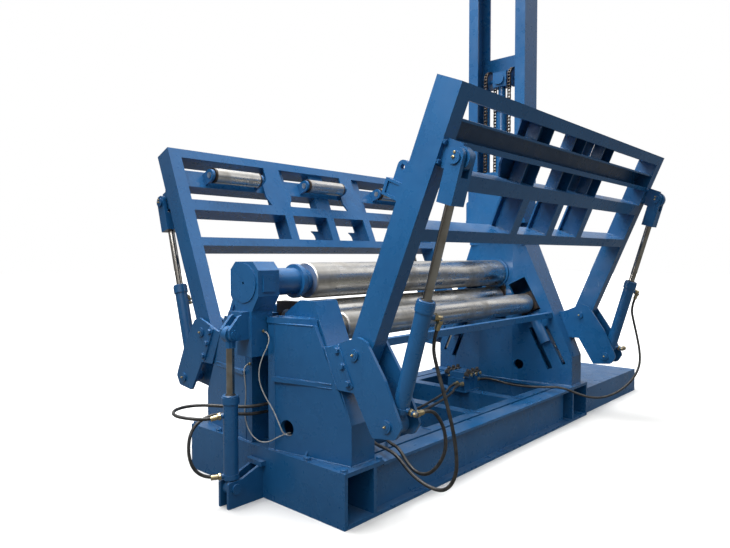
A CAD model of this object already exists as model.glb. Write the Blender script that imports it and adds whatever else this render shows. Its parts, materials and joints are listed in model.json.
# %% [markdown]
# # A four-roll plate rolling machine, dressed for its picture
# The solids of the machine come from the CAD model and stay as they are. This file gives them
# their finishes and adds the small things that a CAD model leaves out: bolts, fittings, hoses,
# weld beads and chain links. Each new piece is a surface worked out with numpy, in metres, in
# the same frame as the CAD model, so nothing has to be fitted by eye.

# %% Load the machine
import json
import math
import bmesh
import bpy
import numpy as np
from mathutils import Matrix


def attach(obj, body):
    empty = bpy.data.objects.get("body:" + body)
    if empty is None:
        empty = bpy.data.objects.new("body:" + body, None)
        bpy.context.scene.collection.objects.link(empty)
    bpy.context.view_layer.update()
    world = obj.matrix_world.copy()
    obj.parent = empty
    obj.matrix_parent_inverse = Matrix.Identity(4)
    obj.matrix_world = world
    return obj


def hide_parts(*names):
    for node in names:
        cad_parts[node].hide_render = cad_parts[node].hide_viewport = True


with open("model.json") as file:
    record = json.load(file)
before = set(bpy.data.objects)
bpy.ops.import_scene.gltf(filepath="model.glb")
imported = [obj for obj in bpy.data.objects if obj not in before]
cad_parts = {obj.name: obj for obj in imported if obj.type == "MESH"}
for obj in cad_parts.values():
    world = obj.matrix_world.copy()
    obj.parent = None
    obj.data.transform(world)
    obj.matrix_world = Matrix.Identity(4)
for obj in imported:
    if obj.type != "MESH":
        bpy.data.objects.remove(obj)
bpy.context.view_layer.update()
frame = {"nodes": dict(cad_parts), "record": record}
nodes = frame["nodes"]

# %% [markdown]
# ## The camera
# A picture with strong perspective was taken close to the machine with a phone held at chest
# height. The camera could be dragged about until the edges agree, but the two vanishing points
# of the base give its turn and its focal length, and a drum of known size gives its height, so
# the numbers are written down directly.

# %% Camera
camera_data = bpy.data.cameras.new("camera")
camera_data.lens = 30.1
camera_data.sensor_width = 36.0
camera = bpy.data.objects.new("camera", camera_data)
camera.location = (-2.093, -2.515, 1.25)
camera.rotation_euler = (math.radians(88.212), 0.0, math.radians(-47.9))
bpy.context.scene.collection.objects.link(camera)
bpy.context.scene.camera = camera
print("camera at", tuple(round(v, 3) for v in camera.location), "lens", camera_data.lens)

# %% [markdown]
# ## Finishes
# Every finish is a small graph of nodes that reads Object coordinates. All the solids have
# their origin in one place, so a pattern runs on from one piece to the next, as paint sprayed
# over the whole machine does. A picture texture could do the same, but would need unwrapping
# and would blur close up, while noise stays sharp at any distance.


# %% Helpers for the finishes
def new_finish(name):
    """An empty finish: its material, its node tree and its Principled shader."""
    finish = bpy.data.materials.new(name)
    finish.use_nodes = True
    tree = finish.node_tree
    shader = tree.nodes["Principled BSDF"]
    return finish, tree, shader


def place_of(tree, scale=(1.0, 1.0, 1.0)):
    """The point on the piece, in metres, stretched by scale along each axis."""
    where = tree.nodes.new("ShaderNodeTexCoord")
    mapping = tree.nodes.new("ShaderNodeMapping")
    mapping.inputs["Scale"].default_value = scale
    tree.links.new(where.outputs["Object"], mapping.inputs["Vector"])
    return mapping.outputs["Vector"]


def noise(tree, place, scale, detail=4.0, rough=0.55):
    """Cloudy noise from 0 to 1, with `scale` blotches to the metre."""
    node = tree.nodes.new("ShaderNodeTexNoise")
    node.inputs["Scale"].default_value = scale
    node.inputs["Detail"].default_value = detail
    node.inputs["Roughness"].default_value = rough
    tree.links.new(place, node.inputs["Vector"])
    return node.outputs["Fac"]


def steps(tree, value, low, high, out_low=0.0, out_high=1.0):
    """The value, spread so that low becomes out_low and high becomes out_high."""
    node = tree.nodes.new("ShaderNodeMapRange")
    for key, number in (("From Min", low), ("From Max", high), ("To Min", out_low), ("To Max", out_high)):
        node.inputs[key].default_value = number
    tree.links.new(value, node.inputs["Value"])
    return node.outputs["Result"]


def times(tree, a, b, kind="MULTIPLY"):
    """Two values multiplied, or joined by another kind of sum."""
    node = tree.nodes.new("ShaderNodeMath")
    node.operation = kind
    for socket, value in zip(node.inputs, (a, b)):
        if isinstance(value, (int, float)):
            socket.default_value = value
        else:
            tree.links.new(value, socket)
    return node.outputs[0]


def between(tree, amount, first, second):
    """A number that goes from first to second: first + (second - first) * amount."""
    change = times(tree, times(tree, second, first, "SUBTRACT"), amount)
    return times(tree, first, change, "ADD")


def tint(tree, amount, first, second):
    """Colour that goes from first to second as amount goes from 0 to 1."""
    node = tree.nodes.new("ShaderNodeMix")
    node.data_type = "RGBA"
    tree.links.new(amount, node.inputs["Factor"])
    for socket, colour in ((node.inputs[6], first), (node.inputs[7], second)):
        if isinstance(colour, tuple):
            socket.default_value = (*colour, 1.0)
        else:
            tree.links.new(colour, socket)
    return node.outputs[2]


def relief(tree, shader, height, depth, strength=1.0):
    """Bump of the given depth in metres on the shader, on top of any bump already there."""
    node = tree.nodes.new("ShaderNodeBump")
    node.inputs["Distance"].default_value = depth
    node.inputs["Strength"].default_value = strength
    tree.links.new(height, node.inputs["Height"])
    if shader.inputs["Normal"].is_linked:
        tree.links.new(shader.inputs["Normal"].links[0].from_socket, node.inputs["Normal"])
    tree.links.new(node.outputs["Normal"], shader.inputs["Normal"])


def facing_up(tree):
    """1 on a level top face, 0 on a wall, less than 0 underneath."""
    geometry = tree.nodes.new("ShaderNodeNewGeometry")
    parts = tree.nodes.new("ShaderNodeSeparateXYZ")
    tree.links.new(geometry.outputs["Normal"], parts.inputs["Vector"])
    return parts.outputs["Z"]


# %% [markdown]
# The whole machine wears one coat of mid-blue gloss enamel, sprayed over plate that was not
# filled first. Close up it has orange peel, from a distance the plate's slow waves bend the
# reflections, and workshop dust dulls whatever faces up. Noises of very different size do that:
# one tints the coat, one waves it, and the finest makes the peel. Some pieces are painted only in
# part, such as a rod with a painted fork, so the coat is a helper that any finish can call.


# %% The blue coat
deep_blue, clear_blue, sprayed_blue = (0.007, 0.078, 0.215), (0.012, 0.100, 0.262), (0.019, 0.124, 0.305)
pale_dust, dark_speck = (0.30, 0.31, 0.31), (0.010, 0.030, 0.07)


def blue_coat(tree, place):
    """The enamel's colour and roughness at a point: clouds, spray mottle, dust on top faces, specks."""
    clouds = steps(tree, noise(tree, place, 2.2, 5), 0.3, 0.7)
    coat = tint(tree, clouds, deep_blue, clear_blue)
    spray = steps(tree, noise(tree, place, 26.0, 3), 0.35, 0.65)
    coat = tint(tree, times(tree, spray, 0.22), coat, sprayed_blue)
    dust_patch = steps(tree, noise(tree, place, 7.0, 6, 0.7), 0.42, 0.78)
    dust = times(tree, dust_patch, steps(tree, facing_up(tree), 0.55, 1.0, 0.0, 0.26))
    coat = tint(tree, dust, coat, pale_dust)
    specks = steps(tree, noise(tree, place, 90.0, 2, 0.4), 0.70, 0.76)
    coat = tint(tree, times(tree, specks, 0.22), coat, dark_speck)
    rough = times(tree, steps(tree, noise(tree, place, 11.0, 5), 0.3, 0.7, 0.22, 0.38), dust, "ADD")
    return coat, rough


def peel(tree, shader, place):
    """The plate's slow waves and the enamel's orange peel."""
    relief(tree, shader, noise(tree, place, 9.0, 2), 0.0016, 0.35)
    relief(tree, shader, noise(tree, place, 260.0, 2, 0.5), 0.0005, 0.5)


blue_enamel, tree, shader = new_finish("blue_enamel")
place = place_of(tree)
coat, rough = blue_coat(tree, place)
tree.links.new(coat, shader.inputs["Base Color"])
tree.links.new(rough, shader.inputs["Roughness"])
shader.inputs["Coat Weight"].default_value = 0.15
shader.inputs["Coat Roughness"].default_value = 0.10
peel(tree, shader, place)
print("finish:", blue_enamel.name, len(tree.nodes), "nodes")

# %% [markdown]
# The rolls are turned steel that has been at work: bright where plate has rubbed them, with
# long streaks along the roll, brown film and small pits. The streaks are noise squeezed along
# X, so that each blotch is half a metre long and a few millimetres high. The machined bands near
# the ends, where no plate runs, keep a darker film.


# %% Worn roll steel
def beyond(tree, place, direction, distance, soft=0.0004):
    """1 where the point lies further than distance along the direction, else 0, with a soft edge."""
    along = tree.nodes.new("ShaderNodeVectorMath")
    along.operation = "DOT_PRODUCT"
    tree.links.new(place, along.inputs[0])
    along.inputs[1].default_value = direction
    return steps(tree, along.outputs["Value"], distance - soft, distance + soft)


rubbed_steel, dull_steel, brown_film = (0.86, 0.84, 0.80), (0.48, 0.47, 0.45), (0.17, 0.140, 0.10)
plate_start, plate_end, fade = 0.30, 2.17, 0.03    # plate runs between these places along X


def roll_metal(tree, place):
    """The roll's colour and roughness: streaks along X, a brown film in clouds, and darker ends."""
    streak = steps(tree, noise(tree, place_of(tree, (1.6, 26.0, 26.0)), 1.0, 6, 0.65), 0.35, 0.68)
    film = steps(tree, noise(tree, place, 5.5, 7, 0.68), 0.48, 0.70)
    end_film = times(tree, beyond(tree, place, (-1.0, 0.0, 0.0), -plate_start, fade),
                     beyond(tree, place, (1.0, 0.0, 0.0), plate_end, fade), "MAXIMUM")
    film = times(tree, film, times(tree, end_film, 0.45), "MAXIMUM")
    metal = tint(tree, streak, dull_steel, rubbed_steel)
    metal = tint(tree, times(tree, film, 0.62), metal, brown_film)
    rough = times(tree, steps(tree, streak, 0.0, 1.0, 0.36, 0.16), times(tree, film, 0.22), "ADD")
    return metal, rough


def worn(tree, shader, place):
    """Pits all over and fine turning marks round the roll."""
    relief(tree, shader, noise(tree, place, 60.0, 4, 0.7), 0.0008, 0.4)
    relief(tree, shader, noise(tree, place_of(tree, (900.0, 14.0, 14.0)), 1.0, 2), 0.0002, 0.4)


roll_steel, tree, shader = new_finish("roll_steel")
place = place_of(tree)
metal, rough = roll_metal(tree, place)
tree.links.new(metal, shader.inputs["Base Color"])
shader.inputs["Metallic"].default_value = 1.0
tree.links.new(rough, shader.inputs["Roughness"])
worn(tree, shader, place)
print("finish:", roll_steel.name, len(tree.nodes), "nodes")

# %% [markdown]
# The top roll has a painted cone where it enters the drop end's sleeve. It is one solid with the
# roll, so paint and steel share a finish, and a mask of the point's own X says which shows. A
# second material on some of the faces would do it too, but the CAD mesh must stay as it is.

# %% Top roll: steel with a painted cone
cone_start, cone_end = 0.1405, 0.1962
painted_roll, tree, shader = new_finish("painted_roll")
place = place_of(tree)
metal, rough = roll_metal(tree, place)
coat, coat_rough = blue_coat(tree, place)
cone = times(tree, beyond(tree, place, (1.0, 0.0, 0.0), cone_start),
             beyond(tree, place, (-1.0, 0.0, 0.0), -cone_end))
tree.links.new(tint(tree, cone, metal, coat), shader.inputs["Base Color"])
tree.links.new(steps(tree, cone, 0.0, 1.0, 1.0, 0.0), shader.inputs["Metallic"])
tree.links.new(between(tree, cone, rough, coat_rough), shader.inputs["Roughness"])
worn(tree, shader, place)
print("finish:", painted_roll.name, len(tree.nodes), "nodes")

# %% [markdown]
# Cylinder rods are ground and hard-chromed. They mirror what stands round them, and only fine
# lines round the rod and a breath of oil break the mirror. Each rod ends in a painted fork or
# eye. The fork starts at a known distance along the rod, so one helper makes the finish for any
# rod from the rod's direction and that distance.


# %% Hard chrome with a painted end
clean_chrome, oily_chrome = (0.46, 0.445, 0.42), (0.25, 0.21, 0.16)


def chromed_rod(name, direction, distance):
    """Chrome up to the given distance along the direction, and blue enamel beyond it."""
    finish, tree, shader = new_finish(name)
    place = place_of(tree)
    oil = steps(tree, noise(tree, place, 14.0, 5), 0.40, 0.75)
    chrome = tint(tree, oil, clean_chrome, oily_chrome)
    coat, coat_rough = blue_coat(tree, place)
    painted = beyond(tree, place, direction, distance)
    tree.links.new(tint(tree, painted, chrome, coat), shader.inputs["Base Color"])
    tree.links.new(steps(tree, painted, 0.0, 1.0, 1.0, 0.0), shader.inputs["Metallic"])
    shine = steps(tree, oil, 0.0, 1.0, 0.08, 0.26)
    tree.links.new(between(tree, painted, shine, coat_rough), shader.inputs["Roughness"])
    relief(tree, shader, noise(tree, place_of(tree, (30.0, 30.0, 1500.0)), 1.0, 2), 0.0001, 0.5)
    print("finish:", finish.name, len(tree.nodes), "nodes")
    return finish


def fork_start(axis, foot, length):
    """Where the fork begins along the axis: the foot pin's place, plus the pins' distance, less the fork."""
    return float(np.dot(axis, foot)) + length - fork_length


# %% The rods' finishes, from their foot pins, directions and lengths between pins
upwards = (0.0, 0.0, 1.0)
front_axis, rear_axis = (0.0, -0.27838, 0.96047), (0.0, 0.27282, 0.96207)
front_foot, rear_foot = (0.0, -0.813, 0.500), (0.0, 0.813, 0.500)
front_length, rear_length, fork_length = 1.18573, 1.13114, 0.190
tilt_fork_z = 0.7895
front_rod = chromed_rod("front_rod", front_axis, fork_start(front_axis, front_foot, front_length))
rear_rod = chromed_rod("rear_rod", rear_axis, fork_start(rear_axis, rear_foot, rear_length))
tilt_rod = chromed_rod("tilt_rod", upwards, tilt_fork_z)

# %% [markdown]
# Bearing blocks and chains are bare steel under old grease: nearly black, with wet patches and
# rusty edges.

# %% Greasy steel
brown_edge, wet_grease = (0.085, 0.062, 0.045), (0.022, 0.021, 0.020)
greasy_steel, tree, shader = new_finish("greasy_steel")
place = place_of(tree)
grease = steps(tree, noise(tree, place, 20.0, 6, 0.65), 0.35, 0.68)
tree.links.new(tint(tree, grease, brown_edge, wet_grease), shader.inputs["Base Color"])
shader.inputs["Metallic"].default_value = 0.6
tree.links.new(steps(tree, grease, 0.0, 1.0, 0.55, 0.26), shader.inputs["Roughness"])
relief(tree, shader, noise(tree, place, 140.0, 5, 0.7), 0.001, 0.6)
print("finish:", greasy_steel.name, len(tree.nodes), "nodes")

# %% [markdown]
# Hoses have a black synthetic cover, slightly shiny and a little dusty, with the print of the
# wrapping cloth that held them while they were cured. The thin grease lines are pale nylon,
# smoother and a little cloudy. Hose fittings are zinc-plated and passivated yellow, with darker
# oily clouds, and coils and seals are black moulded plastic.


# %% Rubber, nylon, plated steel, plastic
def plain_stuff(name, first, second, size, metallic, smooth, dull, grain, depth):
    """A finish from one cloudy noise, which mixes two colours and two roughnesses, with a fine grain."""
    finish, tree, shader = new_finish(name)
    place = place_of(tree)
    cloud = steps(tree, noise(tree, place, size, 5, 0.68), 0.38, 0.72)
    tree.links.new(tint(tree, cloud, first, second), shader.inputs["Base Color"])
    shader.inputs["Metallic"].default_value = metallic
    tree.links.new(steps(tree, cloud, 0.0, 1.0, smooth, dull), shader.inputs["Roughness"])
    relief(tree, shader, noise(tree, place, grain, 3), depth, 0.5)
    print("finish:", finish.name, len(tree.nodes), "nodes")
    return finish


hose_rubber = plain_stuff("hose_rubber", (0.012, 0.012, 0.013), (0.060, 0.058, 0.054), size=30.0,
                          metallic=0.0, smooth=0.36, dull=0.62, grain=420.0, depth=0.0006)
grease_nylon = plain_stuff("grease_nylon", (0.42, 0.43, 0.42), (0.28, 0.28, 0.27), size=25.0,
                           metallic=0.0, smooth=0.30, dull=0.48, grain=300.0, depth=0.0002)
yellow_zinc = plain_stuff("yellow_zinc", (0.62, 0.50, 0.27), (0.36, 0.31, 0.22), size=60.0,
                          metallic=1.0, smooth=0.24, dull=0.46, grain=500.0, depth=0.0003)
bare_strip = plain_stuff("bare_strip", (0.62, 0.62, 0.61), (0.40, 0.38, 0.35), size=22.0,
                         metallic=1.0, smooth=0.22, dull=0.42, grain=380.0, depth=0.0003)
coil_plastic = plain_stuff("coil_plastic", (0.014, 0.014, 0.015), (0.030, 0.030, 0.031), size=45.0,
                           metallic=0.0, smooth=0.42, dull=0.60, grain=600.0, depth=0.0003)

# %% Finishes on the CAD pieces
finish_of_slot = {"blue_paint": blue_enamel, "rolled_steel": roll_steel, "chromed_rod": front_rod,
                  "oiled_steel": greasy_steel, "black_rubber": hose_rubber}
for part in frame["record"]["subparts"]:
    name = part["node"]
    finish = finish_of_slot[part["material_slot"]]
    if name == "top_roll":
        finish = painted_roll
    elif name == "tilt_cylinder_rod":
        finish = tilt_rod
    elif name.startswith("rear") and name.endswith("rod"):
        finish = rear_rod
    piece = nodes[name]
    if not piece.material_slots:
        piece.data.materials.append(finish)
    for socket in piece.material_slots:
        socket.material = finish

# %% [markdown]
# ## Hoses and grease lines
# On the machine these are bought by length and pushed onto crimped fittings, so each one is a
# single smooth line of fixed length. The line could be drawn by hand with handles. A NURBS
# spline is simpler: it takes the route's own points as its control points and passes smoothly
# inside each corner, as a stiff hose does. The bevel gives the line its thickness.

# %% Routes, in millimetres, from the fitting to where the hose goes back into the machine
hose_routes = {
    "front_near_upper_hose": [(76.61, -978.44, 932.62), (76.61, -949.9, 857.9), (80, -975, 755),
        (90, -1008, 640), (104, -1036, 520), (118, -1052, 400), (130, -1046, 285), (136, -985, 198),
        (138, -890, 192), (146, -780, 226), (164, -680, 290), (192, -590, 294), (240, -480, 282),
        (310, -385, 276), (430, -300, 274), (560, -250, 275), (700, -215, 276), (850, -186, 270),
        (1000, -170, 268), (1225, -130, 276), (1360, -100, 282), (1480, -75, 290), (1568, -40, 312),
        (1657.7, -40, 312)],
    "front_near_lower_hose": [(51.6, -912.19, 556.63), (122, -912.19, 556.63), (176, -920, 510),
        (205, -934, 440), (206, -936, 350), (188, -900, 272), (192, -838, 222), (208, -762, 212),
        (222, -695, 246), (238, -635, 296), (272, -545, 296), (358, -450, 282), (480, -350, 272),
        (700, -275, 276), (850, -246, 270), (1000, -225, 268), (1225, -185, 276), (1360, -155, 282),
        (1470, -125, 290), (1566, -84, 312), (1657.7, -84, 312)],
    "front_far_upper_hose": [(2581.61, -978.44, 932.62), (2581.61, -949.9, 857.9), (2580, -972, 755),
        (2574, -1000, 645), (2560, -1025, 540), (2530, -1035, 440), (2475, -1005, 345), (2405, -940, 265),
        (2330, -868, 222), (2258, -793, 216), (2190, -715, 246), (2120, -625, 294), (2070, -510, 284),
        (2040, -390, 276), (2010, -260, 280), (1996, -175, 298), (1966, -108, 310), (1905, -76, 314),
        (1842.3, -76, 314)],
    "tilt_upper_hose": [(-354.79, 22.4, 451.83), (-406.7, 48.4, 440.7), (-490, 90, 456), (-520, 175, 462),
        (-470, 255, 466), (-380, 270, 468), (-300, 225, 466), (-235, 130, 462), (-170, 45, 462),
        (-100, 10, 466), (-5, 0, 470), (87.7, 0, 470)],
    "tilt_lower_hose": [(-354.8, 22.4, 152), (-405.9, 47.9, 152), (-468, 78, 195), (-490, 98, 290),
        (-455, 120, 395), (-360, 125, 440), (-250, 90, 436), (-170, 40, 424), (-95, 24, 422), (-5, 30, 420),
        (87.7, 30, 420)],
    "drop_end_grease_line_1": [(-150, -60.3, 864), (-150, -92, 862), (-152, -114, 838), (-156, -112, 800),
        (-175, -84, 735), (-190, -75, 665), (-188, -82, 600), (-172, -108, 535), (-155, -145, 478),
        (-147, -176, 420), (-138, -211.2, 346.6), (-70, -211.2, 346.6)],
    "drop_end_grease_line_2": [(-122.3, 80, 677), (-148, 80, 676), (-166, 77, 656), (-168, 72, 624),
        (-161, 70, 565), (-153, 80, 500), (-152, 94, 430), (-151, 82, 362), (-149, 38, 310),
        (-148, -28, 288), (-146, -104, 303), (-142, -178.65, 349.5), (-70, -178.65, 349.5)],
}
hose_radius, grease_radius = 0.0085, 0.003


def hose(node, finish, radius):
    """One hose: a spline with the route's points as control points, a round bevel and its real length."""
    points = np.array(hose_routes[node]) / 1000.0
    curve = bpy.data.curves.new(node + "_line", "CURVE")
    curve.dimensions = "3D"
    curve.bevel_depth = radius
    curve.bevel_resolution = 3
    curve.resolution_u = 10
    curve.use_fill_caps = True
    spline = curve.splines.new("NURBS")
    spline.points.add(len(points) - 1)
    spline.points.foreach_set("co", np.column_stack((points, np.ones(len(points)))).ravel())
    spline.order_u = 3
    spline.use_endpoint_u = True
    curve.materials.append(finish)
    piece = bpy.data.objects.new(node + "_line", curve)
    bpy.context.scene.collection.objects.link(piece)
    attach(piece, "machine")
    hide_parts(node)
    return piece


for node in hose_routes:
    thin = "grease" in node
    hose(node, grease_nylon if thin else hose_rubber, grease_radius if thin else hose_radius)
print("hoses and lines:", len(hose_routes))

# %% [markdown]
# ## Tools for small pieces
# Nearly every small piece here is turned or pressed: a bolt, a fitting, a gland, a weld bead. All
# of them are grids of points. A turned piece takes a profile, which is a list of distances along
# an axis with a radius at each, and carries it round the axis. Where a ring is hexagonal, its
# radius grows towards six corners. Modelling each bolt by hand would give the same shape, but a
# formula gives all of them at once, the same size and square to their seats.


# %% From grids of points to a piece
def grid_faces(rows, columns):
    """Faces of a grid: face (i, j) joins points (i, j), (i+1, j), (i+1, j+1) and (i, j+1)."""
    i, j = np.meshgrid(np.arange(rows - 1), np.arange(columns - 1), indexing="ij")
    corner = (i * columns + j).ravel()
    return np.column_stack((corner, corner + columns, corner + columns + 1, corner + 1))


merge_gap, no_length = 0.000002, 0.0000005    # points and edges that count as one point


def make_piece(name, grids, finish, body, sharp=32.0):
    """One mesh from many grids, each (rows, columns, 3), with seams and poles merged and faces turned
    outwards. Edges sharper than the given angle, in degrees, stay sharp."""
    points, faces, start = [], [], 0
    for grid in grids:
        rows, columns = grid.shape[:2]
        points.append(grid.reshape(-1, 3))
        faces.append(grid_faces(rows, columns) + start)
        start += rows * columns
    mesh = bpy.data.meshes.new(name)
    mesh.from_pydata(np.concatenate(points).tolist(), [], np.concatenate(faces).tolist())
    work = bmesh.new()
    work.from_mesh(mesh)
    bmesh.ops.remove_doubles(work, verts=work.verts, dist=merge_gap)
    bmesh.ops.dissolve_degenerate(work, edges=work.edges, dist=no_length)
    bmesh.ops.recalc_face_normals(work, faces=work.faces)
    work.to_mesh(mesh)
    work.free()
    mesh.shade_smooth()
    mesh.set_sharp_from_angle(angle=math.radians(sharp))
    mesh.materials.append(finish)
    piece = bpy.data.objects.new(name, mesh)
    bpy.context.scene.collection.objects.link(piece)
    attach(piece, body)
    mesh.calc_loop_triangles()
    print(name, "rides on", body, "triangles:", len(mesh.loop_triangles))
    return piece


# %% Turned pieces
def across(axis):
    """The axis with a length of 1, and two directions square to it and to each other."""
    axis = np.asarray(axis, float) / np.linalg.norm(axis)
    helper = np.array((0.0, 0.0, 1.0)) if abs(axis[2]) < 0.9 else np.array((0.0, 1.0, 0.0))
    side = np.cross(helper, axis)
    side /= np.linalg.norm(side)
    return axis, side, np.cross(axis, side)


def turned(start, axis, profile, sides=24):
    """Point (u, v) = start + distance[u] * axis + radius[u] * (cos v * side + sin v * up).
    A row of the profile is (distance, radius), with a 1 after them where the ring is a hexagon:
    its radius is then divided by the cosine of the angle to the nearest flat's middle."""
    axis, side, up = across(axis)
    distance = np.array([row[0] for row in profile])
    radius = np.array([row[1] for row in profile])
    hexed = np.array([len(row) > 2 for row in profile])
    v = np.linspace(0.0, 2 * math.pi, sides + 1)
    v[-1] = 0.0
    from_flat = (v + math.pi / 6) % (math.pi / 3) - math.pi / 6
    stretch = np.where(hexed[:, None], 1.0 / np.cos(from_flat)[None, :], 1.0)
    ring = np.cos(v)[:, None] * side + np.sin(v)[:, None] * up
    return np.asarray(start) + distance[:, None, None] * axis + (radius[:, None] * stretch)[..., None] * ring


def mirrored(grids):
    """The same grids on the other side of the machine: y changes sign."""
    return [grid * np.array((1.0, -1.0, 1.0)) for grid in grids]


# %% Hexagon bolts
sink = 0.0002    # small pieces go this far into what they sit on, so that no gap shows under them


def hex_bolt(seat, axis, size):
    """A washer and a hexagon head with a chamfered top, for a thread of the given size. Profile rows go
    from the seat outwards: the washer is twice the thread wide, the head 1.5 across its flats."""
    washer, flat, high, thin = size * 1.02, size * 0.75, size * 0.62, size * 0.16
    return turned(seat, axis, [(-sink, 0.0), (-sink, washer), (thin * 0.8, washer), (thin, washer * 0.96),
                               (thin, flat, 1), (thin + high * 0.84, flat, 1), (thin + high, flat * 0.93),
                               (thin + high, 0.0)])


# %% Bolts that stand on the foot boxes, the drop end's flange and the mast's foot plate
base_z, flange_top, mast_plate_z = 0.260, 0.936, 1.530
anchor_thread, mast_thread, flange_thread = 0.020, 0.016, 0.012
places = [(-0.118, y, base_z, anchor_thread) for y in (-0.601, -0.355, 0.374, 0.602)]
places += [(0.124, y, base_z, anchor_thread) for y in (-0.604, 0.604)]
places += [(-0.108, y, flange_top, flange_thread) for y in (-0.150, 0.150)]
places += [(2.560, y, base_z, anchor_thread) for y in (-0.52, -0.30, 0.30, 0.52)]
places += [(x, y, mast_plate_z, mast_thread) for x in (2.262, 2.425) for y in (-0.120, 0.120)]
housing_bolts = [hex_bolt((x, y, z), upwards, thread) for x, y, z, thread in places]
make_piece("housing_bolts", housing_bolts, blue_enamel, "machine")

# %% [markdown]
# Each bracket is bolted through a flat bar that lies on its outer side. The three bolts follow
# the slope of the housing's wall, so the bar is a thin sloping plate under them.


# %% Bracket bars and bolts
def flat_bar(first, last, width, thick, face):
    """A bar between two points of a plane: a rounded outline (u, v) carried out of the plane by its
    thickness. Rows are the middle, the rim, the rim again further out, and the middle again."""
    first, last, face = np.asarray(first, float), np.asarray(last, float), np.asarray(face, float)
    length = np.linalg.norm(last - first)
    along = (last - first) / length
    aside = np.cross(face, along)
    angle = np.linspace(0.0, 2 * math.pi, 33)
    angle[-1] = 0.0
    u = np.clip(np.cos(angle) * 9, -1, 1) * (length / 2 - width * 0.2) + np.cos(angle) * width * 0.2
    v = np.clip(np.sin(angle) * 3, -1, 1) * width * 0.3 + np.sin(angle) * width * 0.2
    rim = (first + last) / 2 + u[:, None] * along + v[:, None] * aside
    middle = np.broadcast_to((first + last) / 2, rim.shape)
    inner_rim = middle + (rim - middle) * (1 - 0.0012 / width)
    lift = face * thick
    return np.stack((middle - face * sink, rim - face * sink, rim + lift * 0.8, inner_rim + lift,
                     middle + lift))


bracket_places = ((-0.519, 0.804), (-0.552, 0.734), (-0.589, 0.658))
bar_width, bar_thickness, bracket_thread = 0.040, 0.008, 0.018
bracket_bolts = []
for x, face in ((-0.070, -1.0), (2.581, 1.0)):
    bar = flat_bar((x, -0.507, 0.828), (x, -0.600, 0.634), bar_width, bar_thickness, (face, 0.0, 0.0))
    one_side = [bar] + [hex_bolt((x + face * bar_thickness, y, z), (face, 0, 0), bracket_thread)
                        for y, z in bracket_places]
    bracket_bolts += one_side + mirrored(one_side)
make_piece("bracket_bolts", bracket_bolts, blue_enamel, "machine")

# %% [markdown]
# ## Cylinders
# A cylinder's open end is closed by a screwed gland with a black wiper that keeps dirt off the
# rod. Its ports carry yellow-plated elbows: a hexagon on the port, the bend, and a crimped
# ferrule that grips the hose, or a cap where no hose shows. The CAD model has the plain shapes of
# these, so the pieces here are sleeves just over them, and ride on the cylinder's barrel. The
# elbows point aside, which keeps the hoses out of the way of the swinging cylinder.


# %% Gland, wiper and fittings of a support cylinder
def on_cylinder(side, foot, axis, x):
    """Gives at(distance, aside), a point measured from the foot pin along the cylinder and outwards, and
    the two directions."""
    along = np.array((0.0, axis[1], axis[2]))
    out = np.array((0.0, -axis[2], axis[1])) * (1.0 if side == "front" else -1.0)

    def at(distance, aside=0.0):
        return np.array((x, foot[1], foot[2])) + along * distance + out * aside
    return at, along, out


tube_end, upper_port, lower_port = 0.570, 0.510, 0.082    # from the foot pin along the cylinder
port_end, upper_reach, lower_reach = 0.0535, 0.0315, 0.026    # from its axis, and on to each elbow's corner
port_turn = math.radians(60)    # the upper port points this far from outwards towards the drive end
elbow_radius, neck_radius, in_port = 0.0126, 0.0121, 0.001
neck_start, past_corner, ferrule_start, cap_start = 0.013, 0.010, 0.023, 0.035    # from port or corner
gland = [(-0.0005, 0.0208), (-0.0005, 0.0405), (0.008, 0.0405), (0.011, 0.0375), (0.011, 0.0285),
         (0.0075, 0.0275), (0.0075, 0.0208), (-0.0005, 0.0208)]
wiper = [(0.0077, 0.0207), (0.0077, 0.0268), (0.012, 0.0262), (0.0155, 0.0225), (0.0155, 0.0207),
         (0.0077, 0.0207)]
crimp = [(0.0, 0.0), (0.0, 0.0128), (0.004, 0.0134), (0.008, 0.0124), (0.012, 0.0134), (0.016, 0.0124),
         (0.020, 0.0134), (0.024, 0.0124), (0.028, 0.0134), (0.034, 0.0122), (0.034, 0.0)]
hexagon = [(0.0, 0.0), (0.0, 0.0145, 1), (0.002, 0.0155, 1), (0.012, 0.0155, 1), (0.014, 0.0145, 1),
           (0.014, 0.0)]


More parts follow.
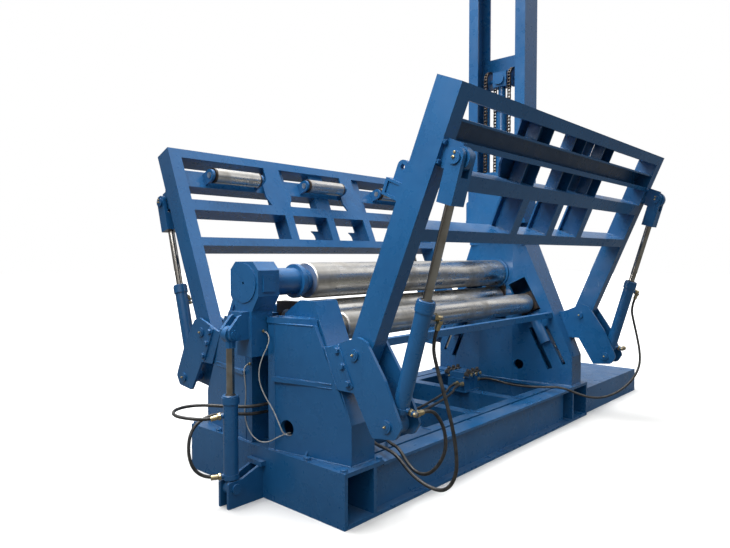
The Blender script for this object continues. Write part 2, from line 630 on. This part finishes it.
def dress_cylinder(side, end, foot, axis, x, with_upper, with_lower):
    """Three pieces for one barrel: the painted gland, the black wiper and the plated fittings."""
    at, along, out = on_cylinder(side, foot, axis, x)
    barrel = f"{side}_{end}_barrel"
    head = at(tube_end)
    make_piece(f"{side}_{end}_gland", [turned(head, along, gland, 36)], blue_enamel, barrel)
    make_piece(f"{side}_{end}_wiper", [turned(head, along, wiper, 36)], coil_plastic, barrel)
    to_drive_end = np.array((1.0, 0.0, 0.0))
    low_port = at(lower_port, port_end - in_port)
    low_corner = at(lower_port, port_end + lower_reach)
    way = out * math.cos(port_turn) + to_drive_end * math.sin(port_turn)
    root = at(upper_port)
    corner = root + way * (port_end + upper_reach)
    to_foot = (at(0.0) - corner) * np.array((0.0, 1.0, 1.0))
    to_foot /= np.linalg.norm(to_foot)
    neck = [(0.0, 0.0), (0.0, neck_radius), (0.020, neck_radius), (0.020, 0.0)]
    bend = [(-elbow_radius * math.cos(a), elbow_radius * math.sin(a)) for a in np.linspace(0.0, math.pi, 9)]
    plated = [turned(root + way * (port_end - in_port), way, hexagon),
              turned(root + way * (port_end + neck_start), way, neck),
              turned(corner, to_foot, bend),
              turned(corner + to_foot * past_corner, to_foot, hexagon),
              turned(low_port, out, hexagon),
              turned(low_corner, to_drive_end, bend),
              turned(low_corner + to_drive_end * past_corner, to_drive_end, hexagon)]
    for used, here, ahead in ((with_upper, corner, to_foot), (with_lower, low_corner, to_drive_end)):
        plated.append(turned(here + ahead * (ferrule_start if used else cap_start), ahead,
                             crimp if used else hexagon))
    make_piece(f"{side}_{end}_fittings", plated, yellow_zinc, barrel)


near_x, far_x = 0.003, 2.508
dress_cylinder("front", "near", front_foot, front_axis, near_x, True, True)
dress_cylinder("front", "far", front_foot, front_axis, far_x, True, False)
dress_cylinder("rear", "near", rear_foot, rear_axis, near_x, False, False)
dress_cylinder("rear", "far", rear_foot, rear_axis, far_x, False, False)

# %% [markdown]
# The small cylinder that tilts the drop end has the same parts, upright. Its two ports leave at a
# slant, and the grease lines begin in brass-coloured unions.

# %% Tilt cylinder
tilt_head = (-0.306, 0.0, 0.545)
tilt_gland = [(-0.0005, 0.0207), (-0.0005, 0.041), (0.007, 0.041), (0.010, 0.037), (0.010, 0.0207),
              (-0.0005, 0.0207)]
tilt_wiper = [(0.0102, 0.0206), (0.0102, 0.0272), (0.0155, 0.0225), (0.0155, 0.0206), (0.0102, 0.0206)]
make_piece("tilt_gland", [turned(tilt_head, upwards, tilt_gland, 36)], blue_enamel, "tilt_barrel")
make_piece("tilt_wiper", [turned(tilt_head, upwards, tilt_wiper, 36)], coil_plastic, "tilt_barrel")
tilt_ports = (((-0.354, 0.022, 0.452), (-0.8787, 0.4393, -0.1883)),
              ((-0.354, 0.022, 0.152), (-0.8944, 0.4472, 0.0)))
union_depth, crimp_start, hexagon_length = 0.004, 0.012, 0.014
tilt_unions = [turned(np.array(at) - union_depth * np.array(axis), axis, hexagon) for at, axis in tilt_ports]
make_piece("tilt_fittings", tilt_unions, yellow_zinc, "tilt_barrel")

# %% Grease unions and the crimps on the machine's own side of each hose
small_union = [(0.0, 0.0), (0.0, 0.0062, 1), (0.001, 0.0068, 1), (0.008, 0.0068, 1), (0.009, 0.0060, 1),
               (0.009, 0.0048), (0.017, 0.0046), (0.017, 0.0)]
make_piece("yoke_grease_union", [turned((-0.150, -0.0599, 0.864), (0, -1, 0), small_union)], yellow_zinc,
           "drop_end")
crimps = [turned(np.array(at) + crimp_start * np.array(axis), axis, crimp) for at, axis in tilt_ports]
crimps += [turned((-0.1219, 0.080, 0.677), (-1, 0, 0), small_union)]
valve_ports = ((1.658, -0.040, 0.312, -1.0), (1.658, -0.084, 0.312, -1.0), (1.842, -0.076, 0.314, 1.0))
for x, y, z, way in valve_ports:
    crimps += [turned((x, y, z), (way, 0, 0), hexagon),
               turned((x + way * hexagon_length, y, z), (way, 0, 0), crimp)]
crimps += [turned((0.088, y, z), (-1, 0, 0), hexagon) for y, z in ((0.0, 0.470), (0.030, 0.420))]
make_piece("hose_crimps", crimps, yellow_zinc, "machine")

# %% [markdown]
# Every big pin is greased through a nipple in its middle. The fork pins also have a small lock
# screw beside it, which keeps the pin from turning.


# %% Pin ends
def pin_end(at, axis):
    """A grease nipple: a small hexagon, a neck and a ball."""
    return turned(at, axis, [(-sink, 0.0), (-sink, 0.0060, 1), (0.004, 0.0060, 1), (0.005, 0.0036),
                             (0.008, 0.0030), (0.010, 0.0038), (0.012, 0.0026), (0.0125, 0.0)], 18)


hinge_y, hinge_z, bracket_pin_reach = -0.620, 0.793, 0.085
nipples = [pin_end((x + way * bracket_pin_reach, y, z), (way, 0, 0))
           for x in (near_x, far_x) for way in (-1.0, 1.0)
           for y, z in ((hinge_y, hinge_z), front_foot[1:])]
make_piece("bracket_pin_ends", nipples + mirrored(nipples), yellow_zinc, "machine")

# %% Fork pins
fork_pin_reach, lock_aside, lock_thread = 0.056, 0.019, 0.006
for side, foot, axis, length in (("front", front_foot, front_axis, front_length),
                                 ("rear", rear_foot, rear_axis, rear_length)):
    for end, x in (("near", near_x), ("far", far_x)):
        at, along, out = on_cylinder(side, foot, axis, x)
        pin = at(length)
        ends = [pin_end(pin + np.array((way * fork_pin_reach, 0, 0)), (way, 0, 0)) for way in (-1.0, 1.0)]
        ends += [hex_bolt(pin + np.array((way * fork_pin_reach, 0, 0)) + lock_aside * along, (way, 0, 0),
                          lock_thread) for way in (-1.0, 1.0)]
        make_piece(f"{side}_{end}_pin_ends", ends, yellow_zinc, f"{side}_{end}_rod")

# %% Points on a support frame, and the bolts of the lugs that the rods push
lean = math.radians(23.0)


def on_frame(side, x, s, w):
    """A point of a support frame: s up along the arm and w outwards from the hinge line."""
    y = hinge_y - s * math.sin(lean) - w * math.cos(lean)
    return np.array((x, y if side == "front" else -y, hinge_z + s * math.cos(lean) - w * math.sin(lean)))


frame_drops = {"front": 0.0, "rear": 0.055}    # rails and lugs sit lower on the rear frame's arms
lug_pin, arm_half, lug_thread = 0.983, 0.066, 0.014
for side, drop in frame_drops.items():
    outwards = on_frame(side, 0, 0, 1) - on_frame(side, 0, 0, 0)
    lug_bolts = [hex_bolt(on_frame(side, x + dx, lug_pin - drop + ds, arm_half), outwards, lug_thread)
                 for x in (near_x, far_x) for dx in (-0.029, 0.029) for ds in (-0.042, 0.042)]
    make_piece(f"{side}_lug_bolts", lug_bolts, blue_enamel, f"{side}_frame")

# %% [markdown]
# ## Lift chains
# The CAD model has each chain as a plain band over its wheel. Here it becomes a roller chain of
# one-inch pitch: pairs of plates, by turns inside and outside, on pins with rollers. One link could
# be copied along a curve with an Array modifier, but a formula for the path gives every pin its
# place, and the links then follow from the pins as whole arrays.

# %% Where the pins lie
lift_x, wheel_z, wheel_line = 2.343, 2.660, 0.0755
chain_places = (-0.105, 0.105)
straight = wheel_z - mast_plate_z
whole = 2 * straight + math.pi * wheel_line
inch = 0.0254
pins_in_loop = int(round(whole / inch))
pitch = whole / pins_in_loop


def chain_pins(y):
    """Pins along the loop: up the near strand, half round the wheel, down the far strand. With s the
    distance run, the angle over the wheel is (s - straight) / wheel_line, held between 0 and pi."""
    s = (np.arange(pins_in_loop) + 0.5) * pitch
    angle = np.clip((s - straight) / wheel_line, 0.0, math.pi)
    rise = np.minimum(s, straight) - np.clip(s - straight - math.pi * wheel_line, 0.0, None)
    return np.column_stack((lift_x - wheel_line * np.cos(angle), np.full_like(s, y),
                            mast_plate_z + rise + wheel_line * np.sin(angle)))


# %% Plates and rollers
def chain_plates(pins, first, offset):
    """Plates over every second pair of pins: an outline with a waist, half height * (0.80 + 0.20 |cos v|),
    stretched along the link, shrunk to its middle on the bottom and top rows, and set aside by offset."""
    a, b = pins[first:-1:2], pins[first + 1::2]
    count = min(len(a), len(b))
    a, b = a[:count], b[:count]
    along = (b - a) / np.linalg.norm(b - a, axis=1, keepdims=True)
    aside = np.array((0.0, 1.0, 0.0))
    outwards = np.cross(along, aside)
    v = np.linspace(0.0, 2 * math.pi, 15)
    v[-1] = 0.0
    half = 0.0105 * (0.80 + 0.20 * np.abs(np.cos(v)))
    u = np.cos(v) * half + np.sign(np.cos(v)) * np.minimum(1.0, np.abs(np.cos(v)) * 4) * pitch / 2
    w = np.sin(v) * half
    scale = np.array((0.0, 1.0, 1.0, 0.0))
    lift = offset + np.array((-0.0009, -0.0009, 0.0009, 0.0009))
    middle = ((a + b) / 2)[:, None, None, :]
    return (middle + scale[None, :, None, None] * (u[None, None, :, None] * along[:, None, None, :]
                                                   + w[None, None, :, None] * outwards[:, None, None, :])
            + lift[None, :, None, None] * aside)


def chain_rollers(pins):
    """A roller on each pin, and the pin's ends past the plates: a stepped profile turned about Y."""
    across_chain = np.array((-0.0128, -0.0128, -0.0075, -0.0075, 0.0075, 0.0075, 0.0128, 0.0128))
    radius = np.array((0.0, 0.0036, 0.0036, 0.0072, 0.0072, 0.0036, 0.0036, 0.0))
    v = np.linspace(0.0, 2 * math.pi, 9)
    v[-1] = 0.0
    ring = np.stack((np.cos(v), np.zeros_like(v), np.sin(v)), axis=-1)
    shape = across_chain[:, None, None] * np.array((0.0, 1.0, 0.0)) + radius[:, None, None] * ring[None]
    return pins[:, None, None, :] + shape[None]


links = []
for y in chain_places:
    pins = chain_pins(y)
    for first, offset in ((0, 0.0088), (0, -0.0088), (1, 0.0112), (1, -0.0112)):
        links += list(chain_plates(pins, first, offset))
    links += list(chain_rollers(pins))
lift_chains = make_piece("lift_chains", links, greasy_steel, "machine", 50.0)
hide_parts("mast_chains")
print("chain pitch", round(pitch * 1000, 2), "mm, pins in a loop:", pins_in_loop)

# %% Chain anchors on the mast's foot plate
stud = [(-sink, 0.0), (-sink, 0.011), (0.030, 0.011), (0.034, 0.008), (0.034, 0.0)]
stud_nut = [(-sink, 0.0), (-sink, 0.017, 1), (0.011, 0.017, 1), (0.013, 0.015, 1), (0.013, 0.0)]
anchors = [turned((x, y, mast_plate_z), upwards, profile) for y in chain_places
           for x in (lift_x - wheel_line, lift_x + wheel_line) for profile in (stud, stud_nut)]
make_piece("chain_anchors", anchors, greasy_steel, "machine")

# %% [markdown]
# ## Weld beads
# Plates of a machine like this are joined by fillet welds that the paint doesn't hide: a rounded
# band in each corner with a ripple every few millimetres. A bead is a thin tube sunk into the
# corner. Its radius swells and shrinks with the ripple and runs out to nothing at both ends, so
# the tube closes by itself.


# %% Beads
ripple, ring_gap = 0.0102, 0.0034


def bead(start, end, radius=0.0045):
    """Ring u lies at a fraction of the way from start to end. Its radius is swelled by 0.13 times the sine
    of the way through a ripple, and by 0.05 times a quicker sine so that no two ripples are alike. Within
    one radius of an end it is also multiplied by the square root of the distance to that end in radii."""
    start, end = np.asarray(start, float), np.asarray(end, float)
    length = float(np.linalg.norm(end - start))
    count = int(length / ring_gap) + 6
    way = np.linspace(0.0, length, count)
    taper = np.sqrt(np.clip(np.minimum(way, length - way) / radius, 0.0, 1.0))
    swell = radius * taper * (1.0 + 0.13 * np.sin(way * (2 * math.pi / ripple)) + 0.05 * np.sin(way * 171.0))
    return turned(start, end - start, np.column_stack((way, swell)).tolist(), 8)


def chain_of_beads(points, radius=0.0045):
    """Beads from point to point."""
    return [bead(a, b, radius) for a, b in zip(points[:-1], points[1:])]


# %% Beads of the machine: round both housings, along the ribs and flange, and up the corners
rib_top, rib_under, flange_under = 0.635, 0.615, 0.906
thick_bead, thin_bead = 0.0055, 0.003
seams = chain_of_beads([(0.113, -0.584, base_z), (-0.049, -0.584, base_z), (-0.122, -0.120, base_z),
                        (-0.122, -0.068, base_z)], thick_bead)
seams += chain_of_beads([(-0.0664, -0.473, rib_top), (-0.122, -0.120, rib_top)])
seams += chain_of_beads([(-0.0664, -0.473, rib_under), (-0.122, -0.120, rib_under)])
seams += chain_of_beads([(-0.0835, -0.365, flange_under), (-0.122, -0.120, flange_under),
                         (-0.122, -0.070, flange_under)])
seams += [bead((-0.039, -0.366, flange_top), (-0.039, -0.104, flange_top)),
          bead((-0.122, -0.120, base_z + 0.006), (-0.122, -0.120, rib_under - 0.004), thin_bead),
          bead((-0.122, -0.120, rib_top + 0.004), (-0.122, -0.120, flange_under - 0.004), thin_bead),
          bead((-0.049, -0.584, base_z + 0.006), (-0.049, -0.584, 0.456), thin_bead),
          bead((-0.049, -0.584, 0.456), (-0.049, -0.369, 0.934), thin_bead)]
for x in (-0.070, 0.076):
    seams.append(bead((x, -0.4235, 0.812), (x, -0.5115, 0.617)))
seams += chain_of_beads([(2.523, -0.600, base_z), (2.353, -0.600, base_z), (2.263, -0.150, base_z),
                         (2.263, 0.0, base_z)], thick_bead)
seams += [bead((2.353, -0.600, base_z + 0.006), (2.353, -0.600, 0.480), thin_bead),
          bead((2.268, -0.180, 1.355), (2.268, 0.0, 1.355)),
          bead((2.268, -0.180, 1.355), (2.463, -0.180, 1.355)),
          bead((2.343, -0.181, 1.500), (2.343, -0.229, 1.500), 0.0035),
          bead((0.137, -0.623, 0.250), (0.137, -0.623 + 0.106, 0.250), 0.0035)]
seams += [bead((x, -0.423, 0.2605), (x, -0.4975, 0.2605), thin_bead) for x in (0.700, 1.225, 1.750)]
seams += [bead((x, -0.597, 0.196), (x, -0.520, 0.196), thin_bead) for x in (2.980, 3.370)]
make_piece("machine_welds", seams + mirrored(seams), blue_enamel, "machine", 60.0)

# %% Beads of the support frames, by places along the arm
arm_face, lug_half = 0.0425, 0.058
top_rail, middle_rail, low_rail = (1.268, 0.062), (0.907, 0.073), (0.645, 0.057)    # top edge, height
beam_low, beam_high, shield_top, post_top = 1.015, 1.130, 1.206, 0.834
post_places, shield_half, post_web = (0.828, 1.243, 1.660), 0.075, 0.005


def cross_bead(side, x, s, w0, w1, radius):
    """A bead through a support frame, from w0 to w1, at the place x and the height s along the arm."""
    return bead(on_frame(side, x, s, w0), on_frame(side, x, s, w1), radius)


for side, drop in frame_drops.items():
    beads = []
    for x in (near_x + arm_face, far_x - arm_face):
        for top, height in (top_rail, middle_rail, low_rail):
            under, over = top - drop - height, top - drop
            for s in ((under,) if top == top_rail[0] else (under, over)):
                beads.append(cross_bead(side, x, s, -0.063, 0.063, 0.004))
        for s in (beam_high - drop, beam_low - drop):
            beads.append(cross_bead(side, x, s, -0.034, 0.055, 0.004))
    for middle in post_places:
        for s in (beam_high - drop, shield_top - drop, middle_rail[0] - drop, beam_low - drop):
            beads += [cross_bead(side, middle + dx, s, -0.032, 0.032, 0.0035)
                      for dx in (-shield_half, shield_half)]
        for s in (low_rail[0] - drop, post_top - drop):
            beads += [cross_bead(side, middle + dx, s, -0.054, 0.054, 0.0035) for dx in (-post_web, post_web)]
    for x in (near_x, far_x):
        for dx in (-0.016, 0.016):
            beads.append(bead(on_frame(side, x + dx, lug_pin - drop - lug_half, arm_half),
                              on_frame(side, x + dx, lug_pin - drop + lug_half, arm_half), 0.004))
    make_piece(f"{side}_frame_welds", beads, blue_enamel, f"{side}_frame", 60.0)

# %% Beads of the drop end, beside the lever's plates
yoke_seams = [bead((-0.220, y, 0.829), (-0.220, y, 0.938), 0.004) for y in (0.023, 0.041)]
make_piece("drop_end_welds", yoke_seams + mirrored(yoke_seams), blue_enamel, "drop_end", 60.0)

# %% [markdown]
# ## Rollers, valves and the guide strip
# The support rollers are bright tubes with dark pressed-in ends. The valve block between the
# foot boxes carries three valves with a black coil at each end, held by a nut. On the far housing,
# a bare steel strip lies in the slanted slot on each side.

# %% Roller ends
roller_places, roller_half, roller_s, roller_w = (0.405, 1.235, 2.065), 0.1853, 1.0725, -0.105
end_ring = [(0.0, 0.0205), (0.0, 0.0495), (0.0015, 0.0502), (0.012, 0.0502), (0.013, 0.0495), (0.013, 0.0205),
            (0.0, 0.0205)]
for side, drop in frame_drops.items():
    for index, x in enumerate(roller_places):
        roller = f"{side}_roller_{index + 1}"
        ends = [turned(on_frame(side, x + way * roller_half, roller_s - drop, roller_w), (-way, 0, 0),
                       end_ring, 36) for way in (-1.0, 1.0)]
        make_piece(f"{roller}_ends", ends, greasy_steel, roller)

# %% Valve coils, each with a plug for its wire on top
valves = [(x, start, way) for x in (1.690, 1.750, 1.810) for start, way in ((-0.136, -1.0), (0.086, 1.0))]
valve_z, block_top = 0.378, 0.356
sleeve = [(0.0, 0.0192), (0.0, 0.0225), (0.002, 0.0235), (0.040, 0.0235), (0.042, 0.0225), (0.042, 0.0192),
          (0.0, 0.0192)]
wire_plug = [(-0.004, 0.0), (-0.004, 0.013), (0.014, 0.013), (0.020, 0.009), (0.020, 0.0)]
coils = []
for x, start, way in valves:
    coils.append(turned((x, start - way * 0.0485, valve_z), (0, way, 0), sleeve, 8))
    coils.append(turned((x, start - way * 0.027, 0.400), upwards, wire_plug, 8))
make_piece("valve_coils", coils, coil_plastic, "machine")

# %% Coil nuts, and the block's screw plugs
coil_nut = [(-sink, 0.0), (-sink, 0.011, 1), (0.006, 0.011, 1), (0.007, 0.010, 1), (0.007, 0.0)]
screw_plug = [(-0.0005, 0.0), (-0.0005, 0.0065), (0.004, 0.0065), (0.005, 0.0055), (0.005, 0.0)]
coil_nuts = [turned((x, start, valve_z), (0, way, 0), coil_nut) for x, start, way in valves]
plugs = [turned((x, y, block_top), upwards, screw_plug)
         for x in (1.664, 1.720, 1.780, 1.836) for y in (-0.090, 0.040)]
make_piece("valve_nuts", coil_nuts + plugs, yellow_zinc, "machine")

# %% Guide strips
wall_x, wall_y, wall_slope, slot_depth = 2.263, 0.150, 0.2, 0.016


def in_slot(y, z):
    """A point on the floor of the slot: x grows by the wall's slope times the distance past wall_y."""
    return wall_x + (abs(y) - wall_y) * wall_slope + slot_depth, y, z


strips = [flat_bar(in_slot(-0.408, 0.678), in_slot(-0.536, 0.436), 0.020, 0.003, (-1.0, 0.0, 0.0))]
make_piece("guide_strips", strips + mirrored(strips), bare_strip, "machine")

# %% [markdown]
# ## Floor and light
# The floor is plain and pale and carries the machine's shadow. Further out it shines a little
# by itself, more and more, until it is as white as the world, so no horizon shows. The world is
# white where the camera looks at it. Where it lights the machine or shows in its reflections it
# goes from dark at the horizon to bright overhead, as a hall with windows in its roof does. A
# large lamp stands for the roof's windows, and two weak ones in front keep the shaded side readable.

# %% Floor
reach = 40.0
machine_middle, white_from, white_at = (1.3, 0.0, 0.0), 1.8, 6.5
shadow_grey, seen_grey = (0.10, 0.10, 0.09), (0.86, 0.86, 0.85)
floor_mesh = bpy.data.meshes.new("floor")
floor_mesh.from_pydata([(-reach, -reach, 0), (reach, -reach, 0), (reach, reach, 0), (-reach, reach, 0)], [],
                       [(0, 1, 2, 3)])
floor = bpy.data.objects.new("floor", floor_mesh)
bpy.context.scene.collection.objects.link(floor)
pale_floor, tree, shader = new_finish("pale_floor")
shader.inputs["Roughness"].default_value = 0.75
path = tree.nodes.new("ShaderNodeLightPath")
tree.links.new(tint(tree, path.outputs["Is Camera Ray"], shadow_grey, seen_grey), shader.inputs["Base Color"])
away = tree.nodes.new("ShaderNodeVectorMath")
away.operation = "DISTANCE"
tree.links.new(place_of(tree), away.inputs[0])
away.inputs[1].default_value = machine_middle
glow = times(tree, steps(tree, away.outputs["Value"], white_from, white_at), path.outputs["Is Camera Ray"])
shader.inputs["Emission Color"].default_value = (1.0, 1.0, 1.0, 1.0)
tree.links.new(glow, shader.inputs["Emission Strength"])
floor_mesh.materials.append(pale_floor)
print("floor", 2 * reach, "m square")

# %% World and lamps
horizon_light, roof_light, roof_height = 0.04, 1.15, 0.7    # height is the sine of the angle upwards
world = bpy.data.worlds.new("hall")
bpy.context.scene.world = world
world.use_nodes = True
tree = world.node_tree
path = tree.nodes.new("ShaderNodeLightPath")
where = tree.nodes.new("ShaderNodeTexCoord")
parts = tree.nodes.new("ShaderNodeSeparateXYZ")
tree.links.new(where.outputs["Generated"], parts.inputs["Vector"])
hall = steps(tree, parts.outputs["Z"], 0.0, roof_height, horizon_light, roof_light)
tree.links.new(times(tree, hall, path.outputs["Is Camera Ray"], "MAXIMUM"),
               tree.nodes["Background"].inputs["Strength"])
tree.nodes["Background"].inputs["Color"].default_value = (1.0, 1.0, 1.0, 1.0)


def lamp(name, place, aim, size, power, spread=180.0):
    """A square soft lamp at place that shines towards aim, within a cone of spread degrees."""
    data = bpy.data.lights.new(name, "AREA")
    data.size = size
    data.energy = power
    data.spread = math.radians(spread)
    light = bpy.data.objects.new(name, data)
    light.location = place
    direction = np.subtract(aim, place)
    flat = math.hypot(direction[0], direction[1])
    light.rotation_euler = (math.atan2(flat, -direction[2]), 0.0, math.atan2(-direction[0], direction[1]))
    bpy.context.scene.collection.objects.link(light)


lamp("key_lamp", (-2.4, -0.8, 3.4), (0.1, -0.5, 1.9), 1.6, 17.0, 60.0)
lamp("side_lamp", (3.5, -5.5, 4.2), (1.5, -0.4, 1.0), 3.0, 30.0)
lamp("roof_lamp", (0.5, 1.5, 7.0), (1.3, 0.0, 0.8), 4.0, 700.0)
print("lamps", 3)

# %% View and hand over
bpy.context.scene.view_settings.view_transform = "Standard"
